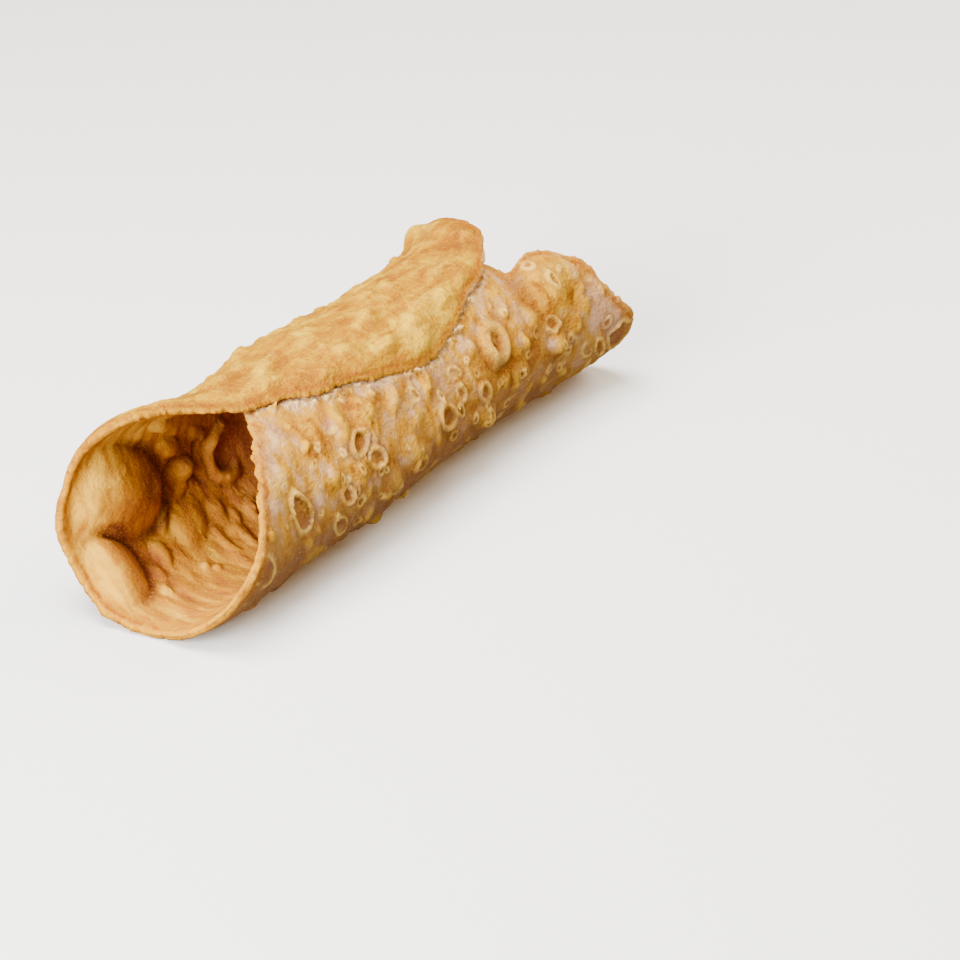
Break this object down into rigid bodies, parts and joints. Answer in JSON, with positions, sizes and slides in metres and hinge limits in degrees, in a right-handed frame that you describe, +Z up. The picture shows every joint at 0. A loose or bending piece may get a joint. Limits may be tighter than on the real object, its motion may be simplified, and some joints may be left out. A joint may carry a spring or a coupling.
{
  "type": "cannoli shell",
  "caption": "Empty fried pastry shell rolled into an open tube, one flap lapping over the other, with blistered skin and flared ends.",
  "frame": {"origin": "middle of the bounding box at the level it rests on", "axes": "+X from the open mouth along the roll to the tail, +Y towards the side away from the lap's free edge, +Z up"},
  "size_m": [0.1286, 0.0438, 0.0399],
  "materials": {
    "fried_dough": "dry, matt, blistered golden-brown crust with a thin bloom of flour"
  },
  "bodies": {
    "root": {"shell": "fried_dough"}
  },
  "joints": []
}
